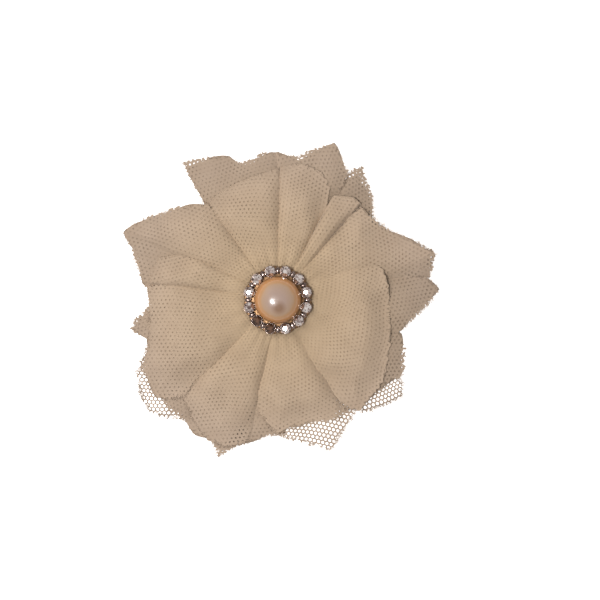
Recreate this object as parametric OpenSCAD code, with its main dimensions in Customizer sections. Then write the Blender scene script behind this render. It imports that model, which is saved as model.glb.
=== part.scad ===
// Flower hair clip: two tiers of folded tulle petals round a pearl and
// rhinestone button, sewn together and glued to a felt disc on a sprung
// steel alligator clip. Millimetres. +Z is the flower's face and X runs
// along the clip. The origin is on the flower's axis, at the outer flat
// face of the clip arm that slides into the hair.

/* [Clip] */
// X of the clip's tip
tip_x = 19.5; // [17:0.5:24]
// Length of each finger lever behind the pin
lever_len = 13; // [11:0.5:14]
// Thickness of the steel sheet
steel_t = 0.7; // [0.5:0.05:0.8]
// Width of the arms
arm_w = 7.4; // [6.8:0.1:8]
// Space between the two arms at the pin
arm_gap = 3.3; // [3.2:0.1:3.8]
// X of the hinge pin
pin_x = -14; // [-15:0.25:-13.5]
// Radius of the hinge pin
pin_r = 0.8; // [0.6:0.05:0.85]
// How far the upper lever is bent up, in degrees
lever_bend = 16; // [14:1:20]
// Pitch of the teeth along the upper arm's sides
tooth_pitch = 1.6; // [1.2:0.2:2.4]
// Diameter of the spring wire
wire_d = 0.5; // [0.4:0.05:0.5]
// Turns of the spring
spring_turns = 4; // [3:1:4]

/* [Backing] */
// Radius of the felt disc
felt_r = 13; // [11:0.5:13]
// Thickness of the felt disc
felt_t = 1.2; // [0.8:0.1:1.5]

/* [Petals] */
// Radius at which the petals are gathered
gather_r = 4.5; // [4:0.1:5.5]
// Thickness of a back petal's bunched layers
back_t = 0.8; // [0.5:0.1:0.8]
// Thickness of a front petal's bunched layers
front_t = 0.7; // [0.5:0.1:0.7]
// Rise of the back petals for each millimetre outwards
back_slope = 0.107; // [0.1:0.005:0.115]
// Rise of the front petals for each millimetre outwards
front_slope = 0.12; // [0.115:0.005:0.14]
// Height of a back petal's arch at its middle
back_arch = 0.8; // [0.2:0.1:0.8]
// Height of a front petal's arch at its middle
front_arch = 1; // [0.4:0.1:1]
// Gap between neighbouring petals, in degrees
petal_gap = 1; // [0.6:0.1:2]

/* [Button] */
// Radius of the pearl
pearl_r = 7; // [6:0.1:7]
// Height of the pearl above its seat
pearl_h = 5.2; // [4:0.1:6]
// Number of rhinestones round the pearl
stone_count = 12; // [8:1:12]
// Radius of the circle on which the rhinestones sit
stone_ring_r = 8.75; // [8.75:0.05:9.1]
// Radius inside a rhinestone's cup at its rim
stone_r = 1.55; // [1.4:0.05:1.55]

/* [Hidden] */
$fn = 48;

// Heights, from the hair side up
arm_top = steel_t + arm_gap;             // underside of the upper arm
pin_z = steel_t + arm_gap / 2;
clip_glue_z = arm_top + steel_t;         // top of the upper arm
felt_z = clip_glue_z + 0.3;
flower_glue_z = felt_z + felt_t;
back_z = flower_glue_z + 0.7;            // underside of the back tier
front_z = back_z + 1.7;                  // underside of the front tier
over_z = front_z + 1.8;                  // underside of the petal on top
button_z = over_z + 1.8;                 // underside of the button
seat_z = button_z + 0.6;                 // top of the button's base
sky_z = 2 * button_z;                    // above everything

// Clip, across its width and along its length
corner_r = 1.5;                          // at the levers' ends
nose_corner_r = 0.5;                     // where the arms start to narrow
kink_x = pin_x + 0.5;                    // where the upper lever bends up
lever_x = pin_x - lever_len;
flange_t = 0.6;
lower_trim = 1.4;                        // how much narrower the lower arm is
flange_y = arm_w / 2 - flange_t / 2;
ear_gap = 0.2;                           // between the two arms' ears
ear_y = arm_w / 2 + ear_gap + flange_t / 2;
upper_ear_r = arm_gap / 2 - 0.3;
lower_ear_r = arm_gap / 2;
pin_clearance = 0.05;
nose_x = 9;                              // where the upper arm curves down
tip_z = steel_t + 0.15;                  // underside of the upper arm's tip
nose_run = tip_x - nose_x;
nose_drop = arm_top - tip_z;
nose_r = (nose_run * nose_run + nose_drop * nose_drop) / (2 * nose_drop);
nose_angle = asin(nose_run / nose_r);
nose_steps = 14;
teeth_start = -8;
teeth_count = floor((nose_x + 2 - teeth_start) / tooth_pitch);
tooth_z = steel_t + 0.3;
tooth_depth = 0.8;
tip_r = 2.4;
rib_r = 0.3;                             // grip ribs on the lower arm
rib_w = 3;
rib_xs = [2 : 4 : 14];
pin_play = 0.05;                         // between the pin's head and an ear
pin_head_t = 0.3;
pin_head_rim = 0.35;                     // how far the head stands past the pin

// Spring
coil_r = 1.2;
coil_pitch = wire_d * 1.15;
coil_steps = 14;
leg_len = 7;
wire_sides = 6;

// Glue, felt and thread
clip_glue_xs = [-9, 8];
clip_glue_r = 2.8;
flower_glue_r = 8;
thread_r = gather_r - 0.4;               // of a gathering thread's loop
thread_t = 0.2;                          // radius of the thread itself
knot_angles = [70, 95];
knot_r = 0.35;
stem_r = gather_r - 0.9;                 // glue up through the petals
flange_glue_r = 7;
flange_glue_t = 0.35;

// Button
stone_start = 15;                        // degrees to the first stone
cup_wall = 0.15;
cup_r = stone_r + cup_wall;
cup_h = 0.9;
cup_floor = 0.3;
cup_floor_r = 0.5;
prong_w = 0.4;
prong_in = 0.25;                         // reach inside the cup's wall
prong_out = 0.12;                        // and outside it
prong_h = 1.4;
base_r = stone_ring_r + 1.5;
seat_h = 0.7;
seat_floor = 0.3;
seat_wall = 0.5;
pearl_foot_r = pearl_r - 0.6;
pearl_foot_h = 0.4;
pearl_edge_h = 0.5;
stone_culet_r = 0.3;
stone_table = 0.55;                      // table's width in parts of the girdle's
stone_low_h = 0.85;                      // below the girdle
stone_high_h = 0.55;                     // above it

// Petals: [angle, radius] round each outline, counter-clockwise, in the
// order in which the petals are numbered
back_outlines = [
    [[-15, 38], [-9, 40.5], [-3, 44], [4, 48], [8, 45.5]],
    [[9, 46], [17, 49], [24, 44.5], [31, 40], [37, 38]],
    [[38, 38], [43, 39.5], [50, 42.5], [58, 47], [61, 43.5]],
    [[62, 44], [66, 47], [70, 49.5], [76, 47], [82, 43.5], [89, 43.5]],
    [[90, 44], [97, 44], [103, 42.5], [110, 45], [118, 47.5], [125, 49.5],
     [128, 37.5]],
    [[136, 40], [145, 44], [152, 48.5], [156.5, 50.5], [162, 46.5],
     [170, 42], [176, 39]],
    [[177, 38.5], [184, 40], [191, 44.5], [197, 41], [200, 42]],
    [[201, 42], [208, 47.5], [215, 50], [221, 50], [226, 48], [231, 46]],
    [[232, 46], [240, 47], [245, 47.5], [249.5, 49.5], [254, 46],
     [260, 42.5], [269, 40]],
    [[270, 40], [278, 42.5], [284, 45], [289.5, 47.5], [296, 43.5],
     [304, 40]],
    [[305, 41.5], [314, 44], [322, 46.7], [327, 43.5], [332, 42.5],
     [339, 40], [344, 37.5]]];
front_outlines = [
    [[299, 29.5], [309, 33], [318, 37], [326, 37.1], [338, 36], [354, 33.6],
     [367, 33.2], [374, 32.8], [379.5, 31.9], [383, 29.8], [387, 25]],
    [[12, 34], [18, 35], [26, 37], [35, 37.5], [49, 37]],
    [[50, 37.5], [56, 37.5], [62, 34.5]],
    [[63, 35], [68, 39], [75, 41], [82, 41], [88, 40]],
    [[89, 40], [98, 38], [108, 37], [117, 36.5], [125, 35.8]],
    [[126, 35.3], [133, 37], [140, 38], [147, 36], [151, 33]],
    [[152, 33], [157, 36], [163, 38], [170, 38.5]],
    [[171, 38.5], [180, 38.5], [190, 38.5], [200, 39.5], [210, 41],
     [218, 40], [224, 36]],
    [[225, 36], [232, 40], [240, 42], [248, 42], [256, 40]],
    [[257, 39], [264, 39.5], [272, 39], [282, 37.6], [291, 38],
     [298, 36]]];
petal_rows = 7;
petal_reach = 45;                        // radius at which the arch is given

// ---- helpers -------------------------------------------------------------

function polar(r, a, z) = [r * cos(a), r * sin(a), z];

// A strip's outline, from the points down its middle and half its thickness
function strip(path, h) = concat(
    [for (k = [0 : len(path) - 1]) path[k] + h * normal2(path, k)],
    [for (k = [len(path) - 1 : -1 : 0]) path[k] - h * normal2(path, k)]);
function normal2(path, k) =
    let (d = path[min(k + 1, len(path) - 1)] - path[max(k - 1, 0)])
    [-d[1], d[0]] / norm(d);

// A closed tube of n sides along a path that nowhere runs straight along Y
module tube(path, r, n) {
    rings = [for (k = [0 : len(path) - 1])
        let (d = path[min(k + 1, len(path) - 1)] - path[max(k - 1, 0)],
             t = d / norm(d),
             s0 = cross(t, [0, 1, 0]),
             s = s0 / norm(s0),
             u = cross(s, t))
        for (j = [0 : n - 1])
            path[k] + r * (cos(360 * j / n) * s + sin(360 * j / n) * u)];
    last = len(path) - 1;
    walls = [for (k = [0 : last - 1], j = [0 : n - 1])
        let (a = k * n + j, b = k * n + (j + 1) % n)
        each [[a, b, b + n], [a, b + n, a + n]]];
    caps = [for (j = [1 : n - 2])
        each [[0, j + 1, j], [last * n, last * n + j, last * n + j + 1]]];
    polyhedron(rings, concat(walls, caps));
}

// Lays a flat XZ outline across the clip's width
module across(w, y = 0) {
    translate([0, y, 0]) rotate([90, 0, 0])
        linear_extrude(w, center = true) children();
}

module pin_bore(r) {
    translate([pin_x, 0, pin_z]) rotate([90, 0, 0])
        cylinder(r = r, h = 12, center = true);
}

// One petal: a thin shell over the ring sector under its outline, arched
// across its width and rising outwards
module petal(outline, z0, thick, slope, arch) {
    m = len(outline);
    a0 = outline[0][0];
    span = outline[m - 1][0] - a0;
    rows = petal_rows;
    sheet = [for (side = [0, 1], k = [0 : m - 1], i = [0 : rows])
        let (u = (outline[k][0] - a0) / span,
             a = a0 + petal_gap / 2 + u * (span - petal_gap),
             r = gather_r + (outline[k][1] - gather_r) * i / rows,
             z = z0 + slope * (r - gather_r)
                 + arch * sin(180 * u) * r / petal_reach + side * thick)
        polar(r, a, z)];
    n = rows + 1;
    top = m * n;
    skin = [for (k = [0 : m - 2], i = [0 : rows - 1])
        let (p = k * n + i)
        each [[p, p + n, p + 1], [p + 1, p + n, p + n + 1],
              [top + p, top + p + 1, top + p + n],
              [top + p + 1, top + p + n + 1, top + p + n]]];
    ends = [for (i = [0 : rows - 1])
        let (q = (m - 1) * n + i)
        each [[i, i + 1, top + i], [i + 1, top + i + 1, top + i],
              [q, top + q, q + 1], [q + 1, top + q, top + q + 1]]];
    rims = [for (k = [0 : m - 2])
        let (p = k * n, q = k * n + rows)
        each [[p, top + p, p + n], [p + n, top + p, top + p + n],
              [q, q + n, top + q], [q + n, top + q + n, top + q]]];
    polyhedron(sheet, concat(skin, ends, rims));
}

// ---- clip ----------------------------------------------------------------

// Middle line of the upper arm: lever, flat and curved nose
arm_path = concat(
    [[lever_x, arm_top + steel_t / 2 + (kink_x - lever_x) * tan(lever_bend)],
     [kink_x, arm_top + steel_t / 2]],
    [for (k = [0 : nose_steps])
        let (a = nose_angle * k / nose_steps)
        [nose_x + nose_r * sin(a),
         arm_top + steel_t / 2 - nose_r * (1 - cos(a))]]);

module jaw_plan(w, end_x) {
    hull() {
        for (s = [-1, 1]) {
            translate([lever_x + corner_r, s * (w / 2 - corner_r)])
                circle(corner_r);
            translate([nose_x + 3, s * (w / 2 - nose_corner_r)])
                circle(nose_corner_r);
        }
        translate([end_x - tip_r, 0]) circle(tip_r);
    }
}

// Side wall of the upper arm, with its teeth and its ear round the pin
module flange_outline() {
    teeth = [for (k = [0 : teeth_count - 1]) each [
        [teeth_start + k * tooth_pitch, tooth_z + tooth_depth],
        [teeth_start + (k + 0.5) * tooth_pitch, tooth_z]]];
    polygon(concat(
        [[pin_x - upper_ear_r, pin_z],
         [pin_x + upper_ear_r, pin_z],
         [pin_x + upper_ear_r + 1, tooth_z + tooth_depth + 0.6]],
        teeth,
        [[teeth_start + teeth_count * tooth_pitch, tooth_z + tooth_depth],
         [nose_x + 2, arm_top + 0.1],
         [kink_x, arm_top + 0.1],
         [pin_x - upper_ear_r, arm_top + 0.1]]));
    translate([pin_x, pin_z]) circle(upper_ear_r);
}

module upper_jaw() {
    color("#b9bcc0") difference() {
        union() {
            intersection() {
                across(arm_w) polygon(strip(arm_path, steel_t / 2));
                linear_extrude(sky_z) jaw_plan(arm_w, tip_x);
            }
            for (s = [-1, 1])
                across(flange_t, s * flange_y) flange_outline();
        }
        pin_bore(pin_r);
    }
}

module lower_jaw() {
    color("#b9bcc0") difference() {
        union() {
            linear_extrude(steel_t) union() {
                jaw_plan(arm_w - lower_trim, tip_x);
                translate([pin_x, 0])
                    square([2 * lower_ear_r, 2 * ear_y + flange_t],
                           center = true);
            }
            for (s = [-1, 1]) across(flange_t, s * ear_y) {
                translate([pin_x, pin_z]) circle(lower_ear_r);
                translate([pin_x - lower_ear_r, 0])
                    square([2 * lower_ear_r, pin_z]);
            }
            for (x = rib_xs) translate([x, 0, steel_t])
                rotate([90, 0, 0])
                    cylinder(r = rib_r, h = rib_w, center = true, $fn = 24);
        }
        pin_bore(pin_r + pin_clearance);
        translate([pin_x - lower_ear_r - 1, -arm_w, -1])
            cube([2 * lower_ear_r + 2, 2 * arm_w, 1]);
    }
}

module hinge_pin() {
    half = ear_y + flange_t / 2 + pin_play;
    color("#a9acb0") translate([pin_x, 0, pin_z]) rotate([90, 0, 0]) {
        cylinder(r = pin_r, h = 2 * half, center = true);
        for (s = [-1, 1]) translate([0, 0, s * (half + pin_head_t / 2)])
            cylinder(r = pin_r + pin_head_rim, h = pin_head_t,
                     center = true);
    }
}

module torsion_spring() {
    half_w = spring_turns * coil_pitch / 2;
    up_leg = [pin_x, -half_w, pin_z + coil_r];
    down_leg = [pin_x, half_w, pin_z - coil_r];
    rise = tan(lever_bend + 1.5);
    steps = (spring_turns + 0.5) * coil_steps;
    coil = [for (k = [0 : steps])
        let (a = 90 - 360 * k / coil_steps)
        [pin_x + coil_r * cos(a),
         -half_w + 2 * half_w * k / steps,
         pin_z + coil_r * sin(a)]];
    color("#8f9296") tube(concat(
        [up_leg + leg_len * [-1, 0, rise], up_leg + leg_len / 2 * [-1, 0, rise],
         up_leg + [-1, 0, 0.12]],
        coil,
        [down_leg + [-1.2, 0, 0], down_leg + [-leg_len, 0, -0.12]]),
        wire_d / 2, wire_sides);
}

module clip_glue() {
    color("#e8e4d8") translate([0, 0, clip_glue_z]) hull()
        for (x = clip_glue_xs) translate([x, 0, 0])
            cylinder(r = clip_glue_r, h = felt_z - clip_glue_z, $fn = 32);
}

// ---- backing -------------------------------------------------------------

module felt_backing() {
    color("#e9dfcb") translate([0, 0, felt_z])
        cylinder(r = felt_r, h = felt_t, $fn = 72);
}

module flower_glue() {
    color("#e8e4d8") translate([0, 0, flower_glue_z])
        cylinder(r = flower_glue_r, h = back_z - flower_glue_z - 0.1);
}

// ---- petals --------------------------------------------------------------

module back_petal(k) {
    color("#bda585")
        petal(back_outlines[k], back_z, back_t, back_slope, back_arch);
}

module front_petal(k) {
    color("#c6ad8b")
        petal(front_outlines[k], k == 0 ? over_z : front_z, front_t,
              front_slope, front_arch);
}

// A gathering thread's loop, drawn tight round the petals' inner ends
module thread_loop(z) {
    color("#d9c9ab") translate([0, 0, z]) {
        rotate_extrude() translate([thread_r, 0])
            circle(thread_t, $fn = 16);
        for (a = knot_angles) rotate([0, 0, a])
            translate([thread_r, 0, 0]) sphere(knot_r, $fn = 24);
    }
}

module back_gathering_thread() { thread_loop(back_z + 0.4); }
module front_gathering_thread() { thread_loop(front_z + 0.4); }

// ---- button --------------------------------------------------------------

module button_glue() {
    stem_z = flower_glue_z + 0.6;
    color("#e8e4d8") {
        translate([0, 0, stem_z]) cylinder(r = stem_r, h = button_z - stem_z);
        translate([0, 0, button_z - flange_glue_t])
            cylinder(r = flange_glue_r, h = flange_glue_t);
    }
}

module button_base() {
    color("#c79a55") translate([0, 0, button_z])
        cylinder(r = base_r, h = seat_z - button_z, $fn = 72);
}

module pearl_seat() {
    color("#c79a55") translate([0, 0, seat_z]) difference() {
        cylinder(r = pearl_r, h = seat_h, $fn = 72);
        translate([0, 0, seat_floor])
            cylinder(r = pearl_r - seat_wall, h = seat_h, $fn = 72);
    }
}

// A cabochon: a low cylinder under an elliptical dome
module pearl() {
    color("#e3d3c2") translate([0, 0, seat_z + seat_floor]) {
        cylinder(r = pearl_foot_r, h = pearl_foot_h, $fn = 72);
        translate([0, 0, pearl_foot_h]) rotate_extrude($fn = 72)
            polygon(concat([[0, 0], [pearl_r, 0]],
                [for (a = [0 : 7.5 : 82.5])
                    [pearl_r * cos(a), pearl_edge_h + pearl_h * sin(a)]],
                [[0, pearl_edge_h + pearl_h]]));
    }
}

module round_stones() {
    for (k = [0 : stone_count - 1])
        rotate([0, 0, stone_start + 360 * k / stone_count])
            translate([stone_ring_r, 0, seat_z]) children();
}

module stone_cups() {
    color("#c9c9cf") round_stones() {
        difference() {
            cylinder(r = cup_r, h = cup_h, $fn = 24);
            translate([0, 0, cup_floor])
                cylinder(r1 = cup_floor_r, r2 = stone_r,
                         h = cup_h - cup_floor + 0.01, $fn = 24);
        }
        for (a = [45 : 90 : 315]) rotate([0, 0, a])
            translate([cup_r - prong_in, -prong_w / 2, 0])
                cube([prong_in + prong_out, prong_w, prong_h]);
    }
}

// A round-cut stone: a cone below its girdle and a cut-off cone above it
module rhinestones() {
    girdle_r = cup_r - prong_in - 0.02;
    color("#dfe3ee") round_stones() translate([0, 0, cup_floor]) {
        cylinder(r1 = stone_culet_r, r2 = girdle_r, h = stone_low_h,
                 $fn = 24);
        translate([0, 0, stone_low_h])
            cylinder(r1 = girdle_r, r2 = girdle_r * stone_table,
                     h = stone_high_h, $fn = 24);
    }
}

upper_jaw();
lower_jaw();
hinge_pin();
torsion_spring();
clip_glue();
felt_backing();
flower_glue();
for (k = [0 : len(back_outlines) - 1])
    back_petal(k);
for (k = [0 : len(front_outlines) - 1])
    front_petal(k);
back_gathering_thread();
front_gathering_thread();
button_glue();
button_base();
pearl_seat();
pearl();
stone_cups();
rhinestones();
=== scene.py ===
"""Looks of the tulle flower hair clip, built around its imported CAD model.

Metres, in the CAD model's frame: +Z out of the flower's face, X along the
clip. Petal outlines and heights below are in millimetres and degrees.
"""

import math
from dataclasses import dataclass

import bpy
import numpy as np
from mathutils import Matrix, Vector


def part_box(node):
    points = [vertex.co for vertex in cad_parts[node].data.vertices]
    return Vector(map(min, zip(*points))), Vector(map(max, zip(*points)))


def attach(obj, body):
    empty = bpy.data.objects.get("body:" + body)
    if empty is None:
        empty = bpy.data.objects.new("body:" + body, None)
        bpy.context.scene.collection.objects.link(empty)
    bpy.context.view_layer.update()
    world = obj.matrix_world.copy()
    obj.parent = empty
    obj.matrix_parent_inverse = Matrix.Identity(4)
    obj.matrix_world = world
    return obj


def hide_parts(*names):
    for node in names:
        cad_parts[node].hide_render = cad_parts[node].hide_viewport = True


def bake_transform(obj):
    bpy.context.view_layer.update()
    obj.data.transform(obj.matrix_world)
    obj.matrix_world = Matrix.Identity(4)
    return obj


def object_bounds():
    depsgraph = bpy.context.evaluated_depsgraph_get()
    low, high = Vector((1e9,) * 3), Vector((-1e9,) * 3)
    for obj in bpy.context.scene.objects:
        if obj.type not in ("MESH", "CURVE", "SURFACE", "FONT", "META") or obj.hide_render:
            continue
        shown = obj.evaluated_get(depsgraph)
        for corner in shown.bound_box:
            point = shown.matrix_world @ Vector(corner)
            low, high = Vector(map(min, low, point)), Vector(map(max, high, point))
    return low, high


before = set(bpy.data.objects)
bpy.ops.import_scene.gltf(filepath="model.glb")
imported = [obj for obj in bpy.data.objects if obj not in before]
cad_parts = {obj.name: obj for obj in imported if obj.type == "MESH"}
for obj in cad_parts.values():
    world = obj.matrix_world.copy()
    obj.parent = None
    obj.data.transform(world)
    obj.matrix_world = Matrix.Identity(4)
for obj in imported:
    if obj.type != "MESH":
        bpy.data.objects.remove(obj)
cad_low, cad_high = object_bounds()

MM = 0.001
ROOT = "flower"


# ---- camera ----

VIEW_WIDTH = 0.177      # what the frame takes in at the petals' height
VIEW_OFFSET = (0.0066, 0.0)  # the flower sits a little left of the middle
CAMERA_ABOVE = 0.38
SENSOR = 36.0


def add_camera():
    petal_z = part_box("front_petal_1")[1].z
    data = bpy.data.cameras.new("camera")
    data.sensor_width = SENSOR
    data.lens = SENSOR * CAMERA_ABOVE / VIEW_WIDTH
    data.clip_start = 0.01
    camera = bpy.data.objects.new("camera", data)
    camera.location = (*VIEW_OFFSET, petal_z + CAMERA_ABOVE)
    bpy.context.scene.collection.objects.link(camera)
    bpy.context.scene.camera = camera


add_camera()


# ---- node materials ----

class Mat:
    """A Principled material, and short ways to add nodes to it."""

    def __init__(self, name, **sockets):
        self.material = bpy.data.materials.new(name)
        self.material.use_nodes = True
        self.tree = self.material.node_tree
        self.shader = self.tree.nodes["Principled BSDF"]
        for key, value in sockets.items():
            self.shader.inputs[key.replace("_", " ")].default_value = value

    def node(self, kind, inputs=None, **settings):
        made = self.tree.nodes.new(kind)
        for key, value in settings.items():
            setattr(made, key, value)
        for key, value in (inputs or {}).items():
            if isinstance(value, bpy.types.NodeSocket):
                self.tree.links.new(value, made.inputs[key])
            else:
                made.inputs[key].default_value = value
        return made

    def link(self, socket, name):
        self.tree.links.new(socket, self.shader.inputs[name])

    def place(self):
        """Where the shaded point is, in the object's own metres."""
        return self.node("ShaderNodeTexCoord").outputs["Object"]

    def noise(self, scale, detail=3.0, roughness=0.5, at=None):
        made = self.node("ShaderNodeTexNoise", {
            "Vector": at or self.place(), "Scale": scale,
            "Detail": detail, "Roughness": roughness})
        return made.outputs["Fac"]

    def ramp(self, value, *stops):
        """A colour, or a number for each channel, at points of a value."""
        made = self.node("ShaderNodeValToRGB", {"Fac": value})
        ramp = made.color_ramp
        while len(ramp.elements) < len(stops):
            ramp.elements.new(0.5)
        for element, (position, colour) in zip(ramp.elements, stops):
            if not isinstance(colour, tuple):
                colour = (colour,) * 3
            element.position = position
            element.color = (*colour, 1.0)
        return made.outputs["Color"]

    def spread(self, noise, low, high):
        """The range that a noise mostly takes, as low to high."""
        return self.ramp(noise, (0.3, low), (0.7, high))

    def math(self, operation, a, b=0.0, c=0.0):
        made = self.node("ShaderNodeMath", {0: a, 1: b, 2: c},
                         operation=operation)
        return made.outputs[0]

    def vector(self, operation, a, b=(0.0, 0.0, 0.0)):
        made = self.node("ShaderNodeVectorMath", {0: a, 1: b},
                         operation=operation)
        number = operation in ("DISTANCE", "DOT_PRODUCT", "LENGTH")
        return made.outputs["Value" if number else "Vector"]

    def mix(self, factor, a, b, blend="MIX"):
        made = self.node("ShaderNodeMix", {0: factor, 6: a, 7: b},
                         data_type="RGBA", blend_type=blend)
        return made.outputs[2]

    def bump(self, height, strength, distance):
        made = self.node("ShaderNodeBump", {
            "Height": height, "Strength": strength, "Distance": distance})
        self.link(made.outputs["Normal"], "Normal")


def scaled(colour, k):
    return tuple(c * k for c in colour)


TULLE_INNER = (0.405, 0.292, 0.183)
TULLE_OUTER = (0.365, 0.272, 0.2)


def from_axis(mat):
    """Distance from the flower's axis, 0 at the button to 1 at 50 mm."""
    plan = mat.vector("MULTIPLY", mat.place(), (20.0, 20.0, 0.0))
    return mat.vector("LENGTH", plan)


def tulle_tone(mat, shade):
    """Warm cream by the button, greyer outwards."""
    return mat.ramp(from_axis(mat), (0.25, scaled(TULLE_INNER, shade)),
                    (0.85, scaled(TULLE_OUTER, shade)))


def tulle(name, shade=1.0):
    """Netting thread, a little uneven in its tone."""
    mat = Mat(name, Roughness=0.72, Sheen_Weight=0.25, Sheen_Roughness=0.5,
              Specular_IOR_Level=0.25)
    patches = mat.spread(mat.noise(160.0), (0.9, 0.89, 0.88), 1.0)
    mat.link(mat.mix(1.0, tulle_tone(mat, shade), patches, "MULTIPLY"),
             "Base Color")
    mat.link(mat.spread(mat.noise(900.0), 0.64, 0.8), "Roughness")
    mat.bump(mat.noise(9000.0, 2.0), 0.3, 0.00004)
    return mat.material


def tulle_folds(name, turn, shade=0.92):
    """Closely bunched inner netting: the mesh pattern is in the colour, its holes darker
    with painted shade.
    """
    mat = Mat(name, Roughness=0.8, Sheen_Weight=0.2, Sheen_Roughness=0.5,
              Specular_IOR_Level=0.2)
    waves = None
    for k in range(3):
        a = math.radians(turn + 60 * k)
        per_m = 2 * math.pi / (NET_PITCH * MM * 0.866)
        direction = (per_m * math.cos(a), per_m * math.sin(a), 0.0)
        wave = mat.math("COSINE", mat.vector("DOT_PRODUCT", mat.place(),
                                             direction))
        waves = wave if waves is None else mat.math("ADD", waves, wave)
    painted_hole_shade = mat.ramp(mat.math("MULTIPLY_ADD", waves, 0.2), (0.0, 1.0),
                     (0.6, (0.86, 0.82, 0.78)))
    mat.link(mat.mix(1.0, tulle_tone(mat, shade), painted_hole_shade, "MULTIPLY"),
             "Base Color")
    mat.bump(mat.noise(1500.0), 0.4, 0.0002)
    return mat.material


# ---- mesh helpers ----
#
# A part is (points in mm, quads, triangles).

NO_TRIS = np.empty((0, 3), int)


def add_mesh(name, part, material, smooth=True):
    """An object from a part."""
    mesh = bpy.data.meshes.new(name)
    verts, *kinds = part
    corners = [np.asarray(f, np.int64) for f in kinds if len(f)]
    mesh.vertices.add(len(verts))
    mesh.vertices.foreach_set("co", (verts * MM).astype(np.float32).ravel())
    loops = np.concatenate([f.ravel() for f in corners])
    sizes = np.concatenate([np.full(len(f), f.shape[1]) for f in corners])
    mesh.loops.add(len(loops))
    mesh.loops.foreach_set("vertex_index", loops.astype(np.int32))
    mesh.polygons.add(len(sizes))
    starts = np.concatenate([[0], np.cumsum(sizes)[:-1]])
    mesh.polygons.foreach_set("loop_start", starts.astype(np.int32))
    mesh.polygons.foreach_set("use_smooth", np.full(len(sizes), smooth))
    mesh.update(calc_edges=True)
    mesh.validate()
    mesh.materials.append(material)
    made = bpy.data.objects.new(name, mesh)
    bpy.context.scene.collection.objects.link(made)
    return made


def add_uv(obj, flat):
    """The cut's flat coordinates as the layer that bakes use."""
    layer = obj.data.uv_layers.new(name="OFBake")
    low = flat.min(0)
    span = max(flat.max(0) - low)
    uv = (flat - low) / span * 0.98 + 0.01
    index = np.empty(len(obj.data.loops), np.int32)
    obj.data.loops.foreach_get("vertex_index", index)
    layer.data.foreach_set("uv", uv[index].astype(np.float32).ravel())


def join_parts(parts):
    verts, quads, tris, count = [], [], [], 0
    for v, q, t in parts:
        verts.append(v)
        quads.append(np.asarray(q, int) + count)
        tris.append(np.asarray(t, int) + count)
        count += len(v)
    return np.vstack(verts), np.vstack(quads), np.vstack(tris)


def turned(part, angle, move=(0, 0, 0)):
    verts, quads, tris = part
    c, s = math.cos(angle), math.sin(angle)
    spin = np.array([(c, s, 0), (-s, c, 0), (0, 0, 1)])
    return verts @ spin + np.array(move), quads, tris


def between(first, second, n):
    """Quads from one ring of n points to another, by their first points."""
    k = np.arange(n)
    after = (k + 1) % n
    return np.stack([first + k, first + after, second + after, second + k],
                    -1)


def capped(verts, ends, n):
    """A closed part from rings of n points, and a point at each end."""
    top = len(verts) - n
    quads = [between(m, m + n, n) for m in range(0, top, n)]
    k = np.arange(n)
    after = (k + 1) % n
    tris = [np.stack([np.full(n, top + n), after, k], -1),
            np.stack([np.full(n, top + n + 1), top + k, top + after], -1)]
    return (np.vstack([verts, *ends]), np.concatenate(quads),
            np.concatenate(tris))


# A square rod with six rings of points, for a fibre or a prong.
ROD_FACES = np.vstack([*(between(4 * k, 4 * k + 4, 4) for k in range(5)),
                       [(0, 3, 2, 1), (20, 21, 22, 23)]])


def box_mm(node):
    """The low and high corners of a CAD node."""
    return [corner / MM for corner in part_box(node)]


def stand_for(piece, node):
    """Puts a piece in the place of a CAD node on the flower."""
    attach(piece, ROOT)
    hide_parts(node)


def piece_for(node, name, part, material, smooth=True):
    piece = add_mesh(name, part, material, smooth)
    stand_for(piece, node)
    return piece


def paint(node, material):
    """Gives its material to a CAD node that stays in view."""
    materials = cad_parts[node].data.materials
    materials.clear()
    materials.append(material)


def ease(t):
    t = np.clip(t, 0.0, 1.0)
    return t * t * (3 - 2 * t)


def ripple(x, y, size, seed):
    """Smooth noise of about +-1 with features of that size, in mm."""
    rng = np.random.default_rng(seed)
    total = np.zeros_like(x)
    for _ in range(7):
        a, phase = rng.uniform(0, 2 * math.pi, 2)
        k = 2 * math.pi / (size * rng.uniform(0.7, 1.6))
        total += np.sin(k * (x * math.cos(a) + y * math.sin(a)) + phase)
    return total / 3.0


def inside(outline, x, y):
    """Which points lie in a polygon, by crossings counted to the right."""
    hit = np.zeros(x.shape, bool)
    for (x0, y0), (x1, y1) in zip(outline, np.roll(outline, -1, 0)):
        if y0 == y1:
            continue
        spans = (y0 > y) != (y1 > y)
        hit ^= spans & (x < x0 + (y - y0) * (x1 - x0) / (y1 - y0))
    return hit


# ---- netting ----

NET_PITCH = 1.25        # from one hole to the next
FULL_STRAND = 0.77      # fluffed strands where layers are bunched
SHEER_STRAND = 0.42     # strands of a single clear layer
INNER_STRAND = 0.5      # share of its strand that a second layer has
NET_THICK = 0.09
LAYER_GAP = 0.12        # from one layer of a petal to the next
UNDER_DROP = 0.3        # from the outer net down to a sheer one below
DANGLING = 0.45         # share of cut strands left sticking out
RAW_EDGE, FOLD_EDGE = 0.15, 0.02  # how far strands stray from the cut
EDGE_THINS = 1.2        # how far in from a raw edge strands are thinner
FRAYS_BEYOND = 30       # edges nearer the button than this are folds
FIBRE_WIDE = 0.08
FUZZ = (9.0, 1.35)      # short fibres along a raw edge: per mm, length
GATHER_R = 4.5          # where the thread draws the petals together
ROLLS_OVER = 3.5        # how far in from its edge a petal starts to roll
SETTLES_OVER = 8        # and to come down on to the tier below
END_BEYOND = 29         # radius past which an outline is a petal's end
TIER_SLOPE = 0.107      # rise of the back tier with the radius
PUFF_AT = 10.5          # where the gathers stand highest, by the button
PUFF_OVER = 5.0

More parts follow.
